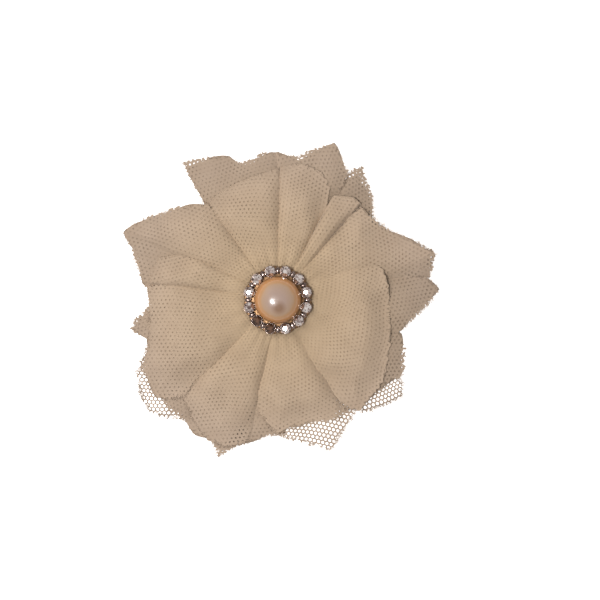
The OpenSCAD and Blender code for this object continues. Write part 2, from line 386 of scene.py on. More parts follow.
# A cell's corners are numbered from 30 degrees in steps of 60. Each strand
# parts a cell from a neighbour: (neighbour's step, own corner and the
# neighbour's at one end, then at the other, and the junctions there).
STRANDS = (((1, 0), (0, 2), (5, 3), (0, 0, 0), (1, 1, -1)),
           ((0, 1), (0, 4), (1, 3), (0, 0, 0), (1, 0, 0)),
           ((-1, 1), (1, 5), (2, 4), (1, 0, 0), (0, -1, 0)))
# Each junction belongs to three cells: (step to the cell, corner in it).
JUNCTIONS = (((0, 0, 0), (1, 0, 2), (0, 1, 4)),
             ((0, 0, 1), (0, 1, 3), (-1, 1, 5)))


def gathered(flat, axis, seed):
    """Draws a cut together sideways towards the flower's middle."""
    ax, ay = math.cos(axis), math.sin(axis)
    s = flat[..., 0] * ax + flat[..., 1] * ay
    t = flat[..., 1] * ax - flat[..., 0] * ay
    t = t * (0.62 + 0.38 * ease((s - 6) / 24))
    s = s + 0.5 * ripple(flat[..., 0], flat[..., 1], 16, seed + 1)
    return np.stack([s * ax - t * ay, s * ay + t * ax], -1)


def edge_distance(outline, x, y):
    """How far points are from the nearest part of a petal's cut edge, which
    starts at the outline's third point."""
    nearest = np.full(x.shape, 1e9)
    for (x0, y0), (x1, y1) in zip(outline[2:-1], outline[3:]):
        dx, dy = x1 - x0, y1 - y0
        t = ((x - x0) * dx + (y - y0) * dy) / max(1e-9, dx * dx + dy * dy)
        t = np.clip(t, 0, 1)
        nearest = np.minimum(nearest, np.hypot(x - x0 - t * dx,
                                               y - y0 - t * dy))
    return nearest


def net(outline, turn, seed, gather_axis, strand, fray, dangling):
    """Hexagonal netting cut to an outline: plan points, flat points, which
    side of the strand each is on (0.5 or -0.5), quads and triangles."""
    rng = np.random.default_rng(seed)
    reach = np.abs(outline).max() + 3
    n = int(reach * 1.45 / NET_PITCH) + 2
    i, j = np.meshgrid(np.arange(-n, n + 1), np.arange(-n, n + 1),
                       indexing="ij")

    def direction(degrees):
        a = math.radians(turn) + math.radians(degrees)
        return np.array([math.cos(a), math.sin(a)])

    offset = rng.uniform(0, NET_PITCH, 2)
    middle = (i[..., None] * direction(0)
              + j[..., None] * direction(60)) * NET_PITCH + offset
    x, y = middle.transpose(2, 0, 1)
    from_cut = edge_distance(outline, *gathered(middle, gather_axis, seed)
                             .transpose(2, 0, 1))
    varied = strand * (1 + 0.09 * ripple(x, y, 11, seed + 2))
    varied *= 0.85 + 0.15 * ease(from_cut / EDGE_THINS)
    varied *= 0.87 + 0.13 * ease((np.hypot(x, y) - 10) / 15)
    radius = NET_PITCH / math.sqrt(3)
    hole = radius - varied.T.reshape(-1, 1, 1) / math.sqrt(3)

    within = np.zeros(i.shape, bool)
    within[2:-2, 2:-2] = True
    joined = []
    for k in range(2):
        plan = gathered(middle + radius * direction(30 + 60 * k),
                        gather_axis, seed)
        plan = plan + rng.normal(0, fray, plan.shape)
        joined.append(inside(outline, *plan.transpose(2, 0, 1)) & within)

    cell = i + n + (j + n) * len(i)
    count = 6 * cell.size       # upper points; each lower one is this later

    def shifted(grid, di, dj):
        return np.roll(grid, (-di, -dj), (0, 1))

    def wall(start, end, chosen):
        start, end = start[chosen], end[chosen]
        return np.stack([start, start + count, end + count, end], -1)

    quads, tris = [], []
    for step, end0, end1, at0, at1 in STRANDS:
        there0 = shifted(joined[at0[0]], *at0[1:])
        there1 = shifted(joined[at1[0]], *at1[1:])
        loose = rng.random(there0.shape) < dangling
        kept = (there0 & there1) | ((there0 ^ there1) & loose)
        other = shifted(cell, *step)
        a0, b0 = cell * 6 + end0[0], other * 6 + end0[1]
        a1, b1 = cell * 6 + end1[0], other * 6 + end1[1]
        top = np.stack([a0, b0, b1, a1], -1)[kept]
        quads += [top, top[:, ::-1] + count,
                  wall(a1, a0, kept), wall(b0, b1, kept),
                  wall(a0, b0, kept & ~there0), wall(b0, a0, there0 & ~kept),
                  wall(b1, a1, kept & ~there1), wall(a1, b1, there1 & ~kept)]
    for there, cells in zip(joined, JUNCTIONS):
        top = np.stack([shifted(cell, di, dj) * 6 + corner
                        for di, dj, corner in cells], -1)[there]
        tris += [top, top[:, ::-1] + count]

    corners = np.stack([direction(30 + 60 * k) for k in range(6)])
    flat = (middle.transpose(1, 0, 2).reshape(-1, 1, 2)
            + hole * corners).reshape(-1, 2)
    quads, tris = np.concatenate(quads), np.concatenate(tris)
    used = np.unique(np.concatenate([quads.ravel(), tris.ravel()]))
    lookup = np.full(2 * count, -1)
    lookup[used] = np.arange(len(used))
    flat = flat[used % count]
    return (gathered(flat, gather_axis, seed), flat,
            np.where(used < count, 0.5, -0.5), lookup[quads], lookup[tris])


def net_cover(strand):
    """The share of a flat net that is thread."""
    return 1 - (1 - strand / NET_PITCH) ** 2


def loose_threads(outline, seed, per_mm, length):
    """Fine cut fibres along the raw edge, in the form that net() returns."""
    rng = np.random.default_rng(seed)
    start, end = outline[2:-1], outline[3:]
    sizes = np.hypot(*(end - start).T)
    sizes[np.minimum(np.hypot(*start.T), np.hypot(*end.T)) < FRAYS_BEYOND] = 0
    plan = []
    for a, b, n in zip(start, end, rng.poisson(per_mm * sizes)):
        out = np.array([b[1] - a[1], a[0] - b[0]]) / max(1e-6,
                                                         np.hypot(*(b - a)))
        for _ in range(n):
            point = a + (b - a) * rng.random() - out * rng.uniform(0.2, 0.8)
            heading = math.atan2(out[1], out[0]) + rng.normal(0, 0.8)
            bend = rng.normal(0, 0.5)
            step = length * rng.uniform(0.4, 1.3) / 5
            for k in range(6):
                half = FIBRE_WIDE / 2 * (1 - 0.1 * k)
                way = np.array([math.cos(heading), math.sin(heading)])
                aside = np.array([-way[1], way[0]]) * half
                plan += [point + aside, point - aside,
                         point - aside, point + aside]
                point = point + step * way
                heading += bend
    plan = np.array(plan).reshape(-1, 2)
    side = np.tile([0.4, 0.4, -0.4, -0.4], len(plan) // 4)
    quads = np.arange(0, len(plan), 24)[:, None, None] + ROD_FACES
    return plan, plan, side, quads.reshape(-1, 4), NO_TRIS


# ---- petals ----

def polar(points):
    a = np.radians([p[0] for p in points])
    r = np.array([p[1] for p in points], float)
    return np.stack([r * np.cos(a), r * np.sin(a)], -1)


@dataclass
class Petal:
    """One folded piece of netting."""

    node: str
    outline: list           # round its visible edge, counter-clockwise
    sides: tuple            # where it meets its neighbours' folds
    turn: float             # of its mesh, in degrees
    arch: float = 1.4       # how far its middle stands up
    tilt: float = 0.0       # its counter-clockwise side above the other
    droop: float = 1.5      # how far its end falls
    roll: float = 0.3       # how far its edge curls down
    slope: float = 0.12     # its rise with the radius
    lift: float = 0.0       # moves all of it up
    puff: float = 1.9       # height that its gathers add by the button
    pleats: int = 3         # gathers across it
    settle: tuple = (8.0, 0, 0)     # its end lies at most this high over the
    #                       tier's slope: height, and more beyond an angle
    strand: float = FULL_STRAND
    layers: int = 2         # of clear netting
    backing: float = 0.99   # how far out its bunched inner layers reach
    under: list = None      # outline of a sheer layer that shows past it
    loose: float = 1.2      # long fibres for each mm of raw edge
    folded: bool = False    # its edge is a fold, with nothing cut
    shaded: bool = False    # its colour is darkened with painted shade

    def __post_init__(self):
        far = [point for point in self.outline if point[1] > END_BEYOND]
        self.end = polar([far[0], far[0], *far])
        self.seed = sum(map(ord, self.node)) * 7
        self.z_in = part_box(self.node)[0].z / MM + 0.3 + self.lift
        self.mid = math.radians(sum(self.sides) / 2)

    def height(self, x, y, drop=0.0):
        """How high it stands at plan points, or a layer that far below."""
        r = np.hypot(x, y)
        a = np.degrees(np.arctan2(y, x))
        middle = sum(self.sides) / 2
        a = middle + (a - middle + 180) % 360 - 180
        u = (a - self.sides[0]) / (self.sides[1] - self.sides[0])
        grow = ease((r - 6) / 20)
        ridge = 1 - np.abs(2 * np.clip(u, -0.4, 1.4) - 1) ** 4
        z = self.z_in + self.slope * (r - GATHER_R) - drop
        z = z + self.arch * grow * np.maximum(ridge, -1.2)
        z = z + self.tilt * (u - 0.5) * grow
        z = z - self.droop * ease((r - 22) / 20)
        from_cut = edge_distance(edge_polygon(self.outline), x, y)
        z = z - self.roll * (1 - ease(from_cut / ROLLS_OVER))
        if self.settle:
            level, more, beyond = self.settle
            below = (level + more * ease((a - beyond) / 12)
                     + TIER_SLOPE * (r - GATHER_R))
            rests = np.minimum(z, below - drop)
            from_end = edge_distance(self.end, x, y)
            z = z + (rests - z) * (1 - ease(from_end / SETTLES_OVER)) * grow
        gathers = np.sin(2 * math.pi * self.pleats * u + self.seed)
        z = z + 0.12 * gathers * np.exp(-((r - 9) / 8) ** 2)
        z = z + self.puff * np.exp(-((r - PUFF_AT) / PUFF_OVER) ** 2)
        z = z + 0.2 * ripple(x, y, 15, self.seed) * ease((r - 10) / 15)
        return z

    def build(self, material, folds):
        """Its netting and the bunched layers under it, as two pieces."""
        cuts = [(self.outline, 0.0, self.turn, self.strand)]
        for k in range(1, self.layers):
            cuts.append((self.outline, LAYER_GAP * k, self.turn + 7.0 * k,
                         self.strand * INNER_STRAND))
        if self.under:
            cuts.append((self.under, UNDER_DROP, self.turn + 20,
                         SHEER_STRAND))
        cuts = [(edge_polygon(outline), *rest) for outline, *rest in cuts]
        edge = (FOLD_EDGE, 0) if self.folded else (RAW_EDGE, DANGLING)
        sheets = [(drop, net(outline, turn, self.seed + 31 * k, self.mid,
                             strand, *edge))
                  for k, (outline, drop, turn, strand) in enumerate(cuts)]
        if not self.folded:
            for per_mm, length in (FUZZ, (self.loose, 1.2 + 0.5 * self.loose)):
                sheets.append((0.1, loose_threads(
                    edge_polygon(self.under or self.outline),
                    self.seed + 5 + int(per_mm), per_mm, length)))
        parts, flats = [], []
        for drop, (plan, flat, side, quads, tris) in sheets:
            z = self.height(*plan.T, drop) + side * NET_THICK
            parts.append((np.column_stack([plan, z]), quads, tris))
            flats.append(flat)
        netting = add_mesh(self.node + "_net", join_parts(parts), material,
                           smooth=False)
        add_uv(netting, np.concatenate(flats))
        backing = self.fold_sheet(folds)
        self.declare([(cut[0], net_cover(cut[3])) for cut in cuts])
        self.declare([(edge_polygon(self.outline) * self.backing,
                                1)])
        return netting, backing

    def declare(self, sheets):
        """Works out the flat size of the cut that a piece is made from: its
        (outline, share that is thread) layers end to end, and the area of
        thread in it, but keeps and returns none of it."""
        axis = np.array([math.cos(self.mid), math.sin(self.mid)])
        wide, total, area = 10.5, 0, 0
        for outline, cover in sheets:
            along, aside = outline @ axis, outline @ (-axis[1], axis[0])
            wide = max(wide, np.ptp(aside))
            total += along.max() - GATHER_R
            x, y = outline.T
            area += cover / 2 * abs(np.dot(x, np.roll(y, -1))
                                    - np.dot(y, np.roll(x, -1)))

    def fold_sheet(self, material):
        """The bunched layers under the netting, as one thin closed sheet."""
        rows, columns = 40, 44
        reaches, wave = (0.999, 0) if self.folded else (self.backing, 0.02)
        ring = edge_polygon(self.outline)[2:]
        a = np.unwrap(np.arctan2(ring[:, 1], ring[:, 0]))
        r = np.hypot(ring[:, 0], ring[:, 1])
        order = np.argsort(a, kind="stable")
        at = np.linspace(a[order[0]], a[order[-1]], columns)
        reach = np.interp(at, a[order], r[order]) * reaches
        reach *= 1 + wave * np.sin(at * 17)
        grid_r = 5 + (reach - 5)[:, None] * np.linspace(0, 1, rows)
        x = grid_r * np.cos(at)[:, None]
        y = grid_r * np.sin(at)[:, None]
        z = self.height(x, y, LAYER_GAP * self.layers)
        return thin_sheet(self.node + "_folds", x, y, z, 0.12, material)


def edge_polygon(outline):
    """A petal's whole outline in plan, from its two gathered corners."""
    return polar([(outline[-1][0], GATHER_R), (outline[0][0], GATHER_R),
                  *outline])


def thin_sheet(name, x, y, z, thick, material):
    """A closed sheet from a grid of points."""
    top = np.stack([x, y, z + thick / 2], -1).reshape(-1, 3)
    low = np.stack([x, y, z - thick / 2], -1).reshape(-1, 3)
    at = np.arange(x.size).reshape(x.shape)
    skin = np.stack([at[:-1, :-1], at[1:, :-1], at[1:, 1:], at[:-1, 1:]],
                    -1).reshape(-1, 4)
    rim = np.concatenate([at[0, :-1], at[:-1, -1], at[-1, :0:-1],
                          at[:0:-1, 0]])
    after = np.roll(rim, -1)
    k = x.size
    wall = np.stack([rim, rim + k, after + k, after], -1)
    piece = add_mesh(name, (np.concatenate([top, low]), np.concatenate(
        [skin[:, ::-1], skin + k, wall]), NO_TRIS), material)
    flat = np.stack([x, y], -1).reshape(-1, 2)
    add_uv(piece, np.concatenate([flat, flat]))
    return piece


def front(number, outline, sides, turn, **looks):
    return Petal("front_petal_%d" % number, outline, sides, turn, **looks)


def back(number, outline, sides, turn, **looks):
    flatter = {"arch": 0.6, "droop": 0.2, "slope": TIER_SLOPE, "puff": 0,
               "settle": None}
    return Petal("back_petal_%d" % number, outline, sides, turn,
                 **{**flatter, **looks})


# Outlines are (degrees, mm) from the flower's middle, sides are degrees.
FRONT = (
    front(1, [(296, 8), (299, 29.5), (302.5, 37.5), (306.5, 41), (312, 40.4),
        (318, 39.9), (325, 39.2), (331, 37.4), (338, 36), (354, 33.6),
        (367, 33.2), (374, 32.8), (379.5, 31.9), (383, 29.8), (386.4, 25.4),
        (389, 19.9), (395, 12.7), (402, 7)], (299, 393), 18, arch=1.5,
        lift=-1.3, droop=2.0, roll=0.7, folded=True, settle=(7.9, 1.5, 357),
        puff=1.55, strand=0.76),
    front(2, [(5, 30), (9, 45), (16.6, 48.8), (26.5, 41.8), (35.5, 37.8),
        (47.8, 36.9), (51, 30), (53, 15)], (14, 49.6), 33, tilt=1.0,
        strand=0.68),
    front(3, [(47, 25), (49.2, 37.9), (53.4, 38.2), (61.9, 35.5), (64, 25)],
        (49.6, 62), 55, pleats=1, strand=0.73, folded=True),
    front(4, [(60, 25), (62.2, 31.6), (65.2, 36.7), (70.6, 40.3), (79.7, 41.3),
        (88.9, 40), (91, 25)], (63, 89.5), 80, pleats=2, folded=True),
    front(5, [(87.5, 25), (88.9, 39.5), (99, 37.8), (110, 36.9), (115.8, 36.6),
        (125.1, 35.8), (128, 25)], (89.5, 126), 2, folded=True),
    front(6, [(124, 25), (125.8, 35.3), (139.8, 41.8), (147.5, 45.8),
        (156.5, 50.1), (160.6, 45.9), (158, 25)], (126, 155), 40),
    front(7, [(148, 20), (155.1, 32.3), (160.3, 37.5), (167.2, 38.9),
        (174.2, 38.8), (176, 25)], (152, 172), 12, pleats=1, lift=0.2,
        folded=True),
    front(8, [(169, 25), (174.2, 38.8), (185.1, 38.5), (194.8, 39.3),
        (203.1, 42.7), (207, 45.6), (218.6, 46.1), (226, 40), (224.4, 34.5),
        (229, 12)], (171, 226), 0, lift=0.2),
    front(9, [(221, 25), (224, 40), (234.5, 43.5), (244.6, 46.6),
        (251.4, 45.8), (261.8, 41.9), (265, 40.5), (260, 25)], (226, 258), 65,
        tilt=-0.3, settle=(7.8, 0, 0)),
    front(10, [(254, 12), (257.5, 27.4), (260.5, 33.9), (269.1, 39.4),
        (282.4, 37.6), (296.2, 39.5), (305.3, 39.3), (302, 25)], (258, 299),
        25, settle=(8.15, 0, 0)),
)
BACK = (
    back(1, [(340, 36), (345.4, 37.3), (357.3, 44.2), (363.9, 47.9),
        (368.5, 44.9), (372, 36)], (343, 370), 10, droop=0.1, strand=0.68,
        shaded=True),
    back(2, [(8, 44), (9, 46), (16.6, 48.9), (24, 44), (30, 39.5),
        (39.8, 37.4), (41, 30)], (8, 40), 40, arch=0.8, droop=1.0, strand=0.7,
        shaded=True),
    back(3, [(36, 30), (39.8, 37.4), (48, 42), (58, 47), (61.3, 43.3),
        (65, 30)], (38, 62), 28, arch=0.8, droop=1.5, strand=0.7, backing=0.96,
        shaded=True),
    back(4, [(59, 30), (61.3, 43.5), (70.1, 49.4), (76.6, 46.3), (81.9, 43.1),
        (88.1, 43.4), (92, 43.8), (93, 30)], (61, 90), 70, strand=0.7),
    back(5, [(87, 30), (88, 43.5), (95.2, 44.2), (102.9, 42.2), (106.5, 43),
        (108.4, 45), (118.3, 47.9), (124.8, 49.9), (127, 37.5), (131, 30)],
        (90, 128), 20),
    back(6, [(128, 30), (139, 40.5), (147.5, 45.4), (156.5, 50.3),
        (161.3, 45.8), (169.8, 42), (174.1, 40), (178, 30)], (132, 176), 45),
    back(7, [(174, 30), (183, 38.7), (188, 43), (191.4, 44.4), (196.4, 40.5),
        (202, 42), (205, 30)], (176, 202), 15),
    back(8, [(198, 30), (200, 41), (207, 44.6), (215.4, 44.4), (225.4, 46.2),
        (231, 45.4), (233.8, 45), (236, 30)], (200, 234), 38, loose=3,
        under=[(198, 30), (200, 42), (207.7, 47.4), (214.6, 49.8), (221, 50.6),
        (226, 48.2), (231, 45.6), (233, 34)]),
    back(9, [(228, 30), (231, 45.5), (238, 46.8), (245, 46.5), (249.4, 49.8),
        (253, 46), (257.4, 43.5), (266, 40.5), (273, 40), (274, 30)],
        (232, 270), 5),
    back(10, [(266, 30), (269.1, 40.3), (280, 43), (289.4, 47.6), (298, 43),
        (305.3, 40.5), (308, 30)], (268, 306), 50, layers=1, backing=0.8,
        strand=SHEER_STRAND, loose=3),
    back(11, [(302, 30), (306, 40), (314.4, 40.4), (322, 40.8), (326.5, 42),
        (328, 43.8), (331.8, 43), (339.4, 40.2), (345.4, 37.8), (348, 30)],
        (305, 345), 0, arch=0.5, droop=0.3, strand=0.68, loose=3,
        under=[(303, 30), (306, 41.6), (314.4, 44.5), (322, 46.9),
        (326.8, 44.6), (329, 36)], shaded=True),
)


def add_petals():
    light = (tulle("tulle_front_net"), tulle_folds("tulle_front_folds", 11))
    middle = (tulle("tulle_back_net", 0.94),
              tulle_folds("tulle_back_folds", 27, 0.86))
    # The shaded pair is the same netting darkened: painted shade for the back petals that
    # lie in the front tier's shade.
    shaded = (tulle("tulle_back_net_shaded", 0.84),
              tulle_folds("tulle_back_folds_shaded", 27, 0.7))
    for petals, plain, slot in ((FRONT, light, "tulle_front"),
                                (BACK, middle, "tulle_back")):
        for petal in petals:
            for piece in petal.build(*(shaded if petal.shaded else plain)):
                stand_for(piece, petal.node)


add_petals()


# ---- button ----

def lathe(profile, segments, wave=np.ones_like):
    """A closed solid of revolution about Z from (radius, z) points, the
    first and last on the axis. wave(angle) scales the radius."""
    a = np.linspace(0, 2 * math.pi, segments, endpoint=False)
    ring = np.array(profile[1:-1])
    r = ring[:, :1] * wave(a)
    z = np.repeat(ring[:, 1:], segments, 1)
    verts = np.stack([r * np.cos(a), r * np.sin(a), z], -1).reshape(-1, 3)
    ends = ((0, 0, profile[0][1]), (0, 0, profile[-1][1]))
    return capped(verts, ends, segments)


def arc_profile(r, z0, height, steps, power=2.0):
    """Quarter of a superellipse, from its foot up to the axis."""
    points = []
    for k in range(steps + 1):
        a = math.pi / 2 * k / steps
        points.append((r * math.cos(a) ** (2 / power),
                       z0 + height * math.sin(a) ** (2 / power)))
    return points


def add_pearl():
    low, high = box_mm("pearl")
    r, edge = high.x, low.z + 0.45
    profile = [(0, low.z), (r - 0.7, low.z), (r - 0.35, low.z + 0.12),
               *arc_profile(r, edge, high.z - edge, 40, 2.3)]
    mat = Mat("pearl_lacquer_painted_reflection", Roughness=0.3, Coat_Weight=0.6,
              Coat_Roughness=0.06, Coat_IOR=1.45, Specular_IOR_Level=0.5)
    parts = mat.node("ShaderNodeSeparateXYZ",
                     {"Vector": mat.place()}).outputs
    depth = mat.node("ShaderNodeMapRange", {
        "Value": parts[2], "From Min": edge * MM, "From Max": high.z * MM})
    drift = mat.math("MULTIPLY_ADD", mat.noise(220.0), 0.16, -0.08)
    level = mat.math("ADD", depth.outputs[0], drift)
    # Colour by height: the nacre's own cream, with painted reflection as the orange band
    # at the rim (the gold setting and the fabric) and as the lilac grey on top.
    nacre_and_painted_reflection = mat.ramp(level, (0.0, (0.34, 0.15, 0.048)),
                     (0.62, (0.385, 0.175, 0.062)), (0.74, (0.37, 0.2, 0.09)),
                     (0.82, (0.33, 0.215, 0.135)), (0.97, (0.3, 0.21, 0.168)))
    # A painted reflection: a brown dark patch just below and right of the highlight,
    # multiplied into the colour.
    aside = mat.vector("DISTANCE", mat.place(), (
        r * 0.06 * MM, -r * 0.34 * MM, high.z * MM))
    painted_dark_reflection = mat.ramp(mat.math("MULTIPLY", aside, 300.0),
                       (0.25, (0.68, 0.56, 0.44)), (0.75, 1.0))
    mat.link(mat.mix(1.0, nacre_and_painted_reflection, painted_dark_reflection, "MULTIPLY"), "Base Color")
    mat.link(mat.spread(mat.noise(3000.0), 0.18, 0.27), "Roughness")
    piece_for("pearl", "pearl_cabochon", lathe(profile, 96), mat.material)


def cut_stone(r, base, girdle, top):
    """A round-cut stone with flat facets: table, stars, kites and girdle
    facets above, sixteen facets below."""

    def ring(radius, z, count, start):
        a = start + np.arange(count) * 2 * math.pi / count
        return np.column_stack([radius * np.cos(a), radius * np.sin(a),
                                np.full(count, z)])

    table = ring(0.38 * r, top, 8, 0)
    stars = ring(0.8 * r, girdle + 0.55 * (top - girdle), 8,
                 math.pi / 8)
    rim = ring(r, girdle + 0.06, 16, 0)
    belt = ring(r, girdle - 0.04, 16, 0)
    verts = np.vstack([table, stars, rim, belt, (0, 0, top), (0, 0, base)])
    quads, tris = [], []
    for k in range(8):
        after, before = (k + 1) % 8, (k - 1) % 8
        tris += [(48, k, after), (k, 8 + k, after),
                 (8 + k, 16 + 2 * k, 16 + 2 * k + 1),
                 (8 + k, 16 + 2 * k + 1, 16 + (2 * k + 2) % 16)]
        quads.append((k, 8 + before, 16 + 2 * k, 8 + k))
    for k in range(16):
        after = (k + 1) % 16
        quads.append((16 + k, 32 + k, 32 + after, 16 + after))
        tris.append((32 + k, 49, 32 + after))
    return verts, np.array(quads), np.array(tris)


STONE_CUP_R = 1.7
STONE_R = 1.56
STONES = 12
FIRST_STONE = math.radians(15)
DULL_STONES = (7, 8)    # two that have lost their foil


def stone_ring():
    """How far the stones' middles are from the button's."""
    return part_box("pearl")[1].x / MM + STONE_CUP_R + 0.05


def stone_places():
    """Each stone's angle and where its cup stands."""
    ring_r, base_top = stone_ring(), box_mm("button_base")[1].z
    for k in range(STONES):
        a = FIRST_STONE + 2 * math.pi * k / STONES
        yield a, (ring_r * math.cos(a), ring_r * math.sin(a), base_top)


def stone_material(name, bright, middle, dark, metal):
    """Facets that differ in brightness by the way that they face: painted sparkle and
    shade in the colour.
    """
    mat = Mat(name, Metallic=metal, Roughness=0.07, Coat_Weight=metal,
              Coat_Roughness=0.02, Coat_IOR=1.6)
    facing = mat.node("ShaderNodeNewGeometry").outputs["True Normal"]
    spread_out = mat.vector("MULTIPLY", mat.place(), (240.0,) * 3)
    painted_sparkle = mat.noise(2.6, 1.0, at=mat.vector("ADD", facing, spread_out))
    mat.link(mat.ramp(painted_sparkle, (0.34, dark), (0.46, middle),
                      (0.58, bright)), "Base Color")
    return mat.material


def leaned(part, x, y):
    """A part with its top tipped by small angles towards +X and +Y."""
    verts, quads, tris = part
    shifted = verts.copy()
    shifted[:, 2] -= x * verts[:, 0] + y * verts[:, 1]
    shifted[:, :2] += np.outer(verts[:, 2] - 1, (x, y))
    return shifted, quads, tris


def add_stones():
    clear = stone_material("rhinestone_facets", (1.0, 0.9, 0.84),
                           (0.56, 0.43, 0.39), (0.2, 0.13, 0.11), 0.9)
    dull = stone_material("rhinestone_dull", (0.12, 0.06, 0.035),
                          (0.045, 0.022, 0.012), (0.02, 0.011, 0.007), 0.1)
    leans = np.random.default_rng(61).normal((-0.08, -0.02), 0.06,
                                             (STONES, 2))
    leans[list(DULL_STONES)] = 0.05
    for name, material, wanted in (
            ("rhinestones_clear", clear, False),
            ("rhinestones_dull", dull, True)):
        stones = []
        for k, (a, place) in enumerate(stone_places()):
            if (k in DULL_STONES) == wanted:
                stone = turned(cut_stone(STONE_R, 0.3, 1.05, 1.75),
                               a * 1.7 + k)
                stones.append(turned(leaned(stone, *leans[k]), 0, place))
        piece_for("rhinestones", name, join_parts(stones), material,
                  smooth=False)


def prong_cup():
    """A stone's cup: a flared wall with four prongs bent over the stone."""
    r = STONE_CUP_R
    profile = [(0, 0), (r - 0.35, 0), (r - 0.3, 0.05), (r - 0.02, 0.75),
               (r - 0.02, 0.9), (r - 0.12, 0.95), (r - 0.2, 0.88),
               (r - 0.35, 0.5), (0.5, 0.28), (0, 0.25)]
    parts = [lathe(profile, 40)]
    spine = ((r - 0.12, 0.6), (r + 0.02, 0.95), (r + 0.02, 1.2),
             (r - 0.1, 1.42), (r - 0.32, 1.52), (r - 0.5, 1.5))
    verts = []
    for m, (radius, z) in enumerate(spine):
        wide, thick = 0.3 * (1 - 0.5 * (m / 5) ** 2), 0.09
        for du, dw in ((-1, -1), (1, -1), (1, 1), (-1, 1)):
            verts.append((radius + thick * du * (m < 3), wide * dw,
                          z + thick * du * (m >= 3)))
    prong = (np.array(verts, float), ROD_FACES, NO_TRIS)
    parts += [turned(prong, math.pi / 4 + k * math.pi / 2)
              for k in range(4)]
    return join_parts(parts)


def bridge():
    """The strip of metal that joins two cups, with a claw at each end."""
    ring_r = stone_ring()
    parts = []
    for radius, size, height in ((ring_r - 0.8, 0.22, 1.1),
                                 (ring_r + 0.8, 0.28, 0.95)):
        claw = lathe([(0, 0), (size, 0), (size, height - size),
                      *[(size * math.cos(t), height - size
                         + size * math.sin(t))
                        for t in (0.4, 0.8, 1.2)], (0, height)], 12)
        parts.append(turned(claw, 0, (radius, 0, 0)))
    strip = lathe([(0, 0), (1.0, 0), (1.05, 0.1), (1.0, 0.5), (0, 0.55)], 24)
    strip[0][:, 1] *= 0.8
    parts.append(turned(strip, 0, (ring_r, 0, 0)))
    return join_parts(parts)


def metal(name, colour, dark, roughness):
    """Plated metal: faint cloudiness and rub marks."""
    mat = Mat(name, Metallic=1.0, Roughness=roughness)
    mat.link(mat.ramp(mat.noise(700.0, 4.0), (0.3, dark), (0.6, colour)),
             "Base Color")
    mat.link(mat.spread(mat.noise(1800.0), roughness * 0.7,
                        roughness * 1.3), "Roughness")
    return mat.material


def add_button():
    silver = metal("silver_plate", (0.48, 0.38, 0.34), (0.26, 0.19, 0.165),
                   0.24)
    gold = metal("gold_plate", (0.27, 0.155, 0.082), (0.17, 0.1, 0.05), 0.45)
    cups = [turned(prong_cup(), a, place) for a, place in stone_places()]
    cups += [turned(bridge(), a + math.pi / STONES, (0, 0, place[2]))
             for a, place in stone_places()]
    piece_for("stone_cups", "stone_prong_cups", join_parts(cups),
              silver)
    low, high = box_mm("button_base")
    r = high.x
    rounded = [(0, low.z), (r - 0.25, low.z), (r - 0.05, low.z + 0.12),
               (r, low.z + 0.3), (r - 0.08, high.z - 0.08),
               (r - 0.3, high.z), (0, high.z)]

    def scallops(a):
        wave = np.abs(np.cos((a - FIRST_STONE) * STONES / 2))
        return 0.96 + 0.05 * wave

    piece_for("button_base", "button_base_plate",
              lathe(rounded, 192, scallops), gold)
    paint("pearl_seat", gold)
    add_pearl()
    add_stones()


add_button()


# ---- clip, backing, glue and thread ----

def tube(path, radius, sides=12, closed=False):
    """A round tube along a path, capped unless it is closed."""
    path = np.asarray(path, float)
    radius = np.broadcast_to(radius, len(path))
    if closed:
        ahead = np.roll(path, -1, 0) - np.roll(path, 1, 0)
    else:
        ahead = np.gradient(path, axis=0)
    ahead /= np.linalg.norm(ahead, axis=1)[:, None]
    up = np.cross(ahead[0], (0.3, 0.9, 0.2))
    rings = []
    for point, way, r in zip(path, ahead, radius):
        up = up - way * np.dot(up, way)
        up = up / np.linalg.norm(up)
        side = np.cross(way, up)
        a = np.linspace(0, 2 * math.pi, sides, endpoint=False)[:, None]
        rings.append(point + r * (np.cos(a) * up + np.sin(a) * side))
    verts = np.concatenate(rings)
    if not closed:
        return capped(verts, (path[0], path[-1]), sides)
    m = len(path)
    quads = [between(i * sides, (i + 1) % m * sides, sides)
             for i in range(m)]
    return verts, np.concatenate(quads), NO_TRIS


def brushed_steel(name, colour, dark, along):
    """Rolled sheet steel: fine streaks one way, and faint smudges."""
    mat = Mat(name, Metallic=1.0, Roughness=0.3)
    grain = mat.noise(1.0, 5.0, 0.65,
                      mat.vector("MULTIPLY", mat.place(), along))
    smudge = mat.noise(180.0, 2.0)
    mat.link(mat.mix(0.35, mat.spread(grain, dark, colour),
                     mat.ramp(smudge, (0.35, dark), (0.6, colour))),
             "Base Color")
    mat.link(mat.spread(grain, 0.24, 0.4), "Roughness")
    mat.bump(grain, 0.15, 0.00002)
    return mat.material


def add_clip():
    plate = brushed_steel("clip_steel_sheet", (0.68, 0.69, 0.71),
                          (0.5, 0.51, 0.54), (300.0, 9000.0, 9000.0))
    pin = brushed_steel("clip_steel_pin", (0.6, 0.61, 0.63),
                        (0.42, 0.43, 0.46), (5000.0, 400.0, 5000.0))
    paint("upper_jaw", plate)
    paint("lower_jaw", plate)
    paint("hinge_pin", pin)
    add_spring()


